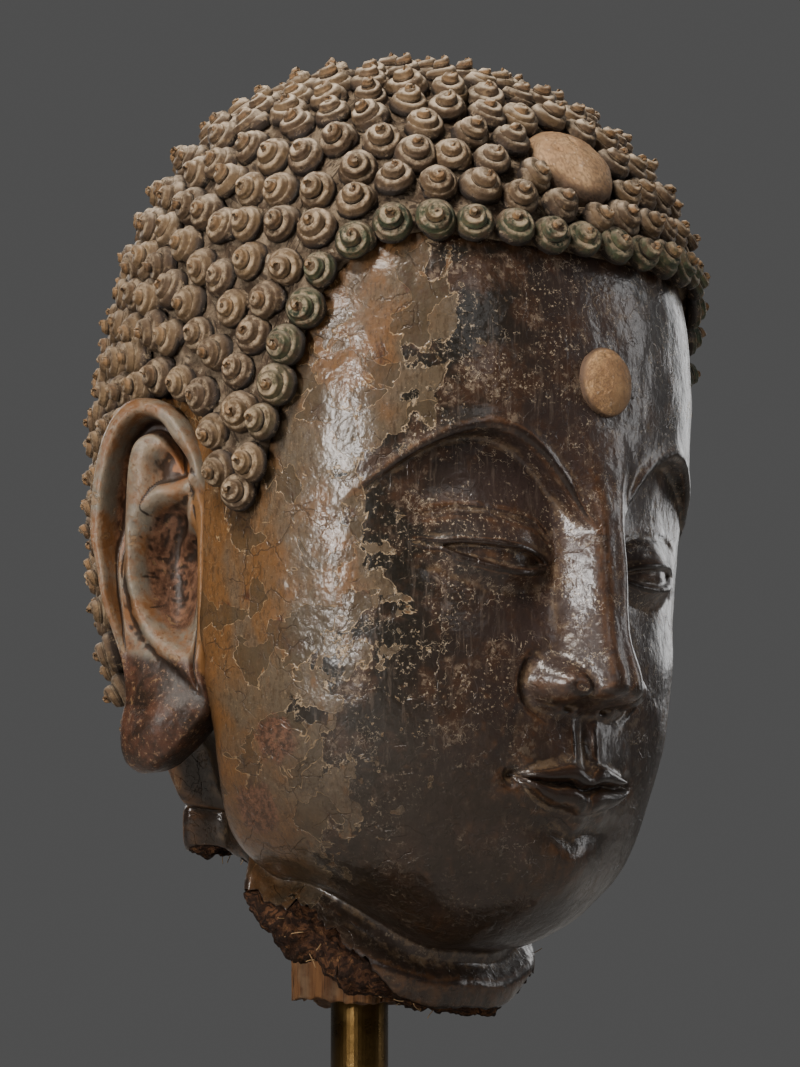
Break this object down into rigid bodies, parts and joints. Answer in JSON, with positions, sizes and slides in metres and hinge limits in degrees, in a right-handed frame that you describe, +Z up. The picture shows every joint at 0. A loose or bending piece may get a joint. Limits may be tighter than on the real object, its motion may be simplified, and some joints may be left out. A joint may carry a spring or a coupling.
{
  "type": "painted clay buddha head",
  "caption": "Large painted clay buddha head with snail-shell curls and long ears, broken at the neck, held upright on a plumb metal rod with a square foot.",
  "frame": {"origin": "middle of the foot's underside, on the axis of the rod", "axes": "+Z up along the rod, the face looks towards -Y, +X towards the figure's left ear"},
  "size_m": [0.3864, 0.4033, 0.7619],
  "materials": {
    "painted_clay": "dark varnish over paint on clay, satin, flaking to a grey-green and ochre ground",
    "boss_clay": "matte orange clay, worn",
    "jewel_clay": "matte buff clay with dark specks",
    "old_wood": "dry, cracked along the grain, unfinished",
    "mount_metal": "satin bronze-brown"
  },
  "bodies": {
    "root": {"head": "painted_clay", "urna": "boss_clay", "hair_jewel": "jewel_clay", "wood_core": "old_wood", "mount_rod": "mount_metal", "mount_foot": "mount_metal"}
  },
  "joints": []
}
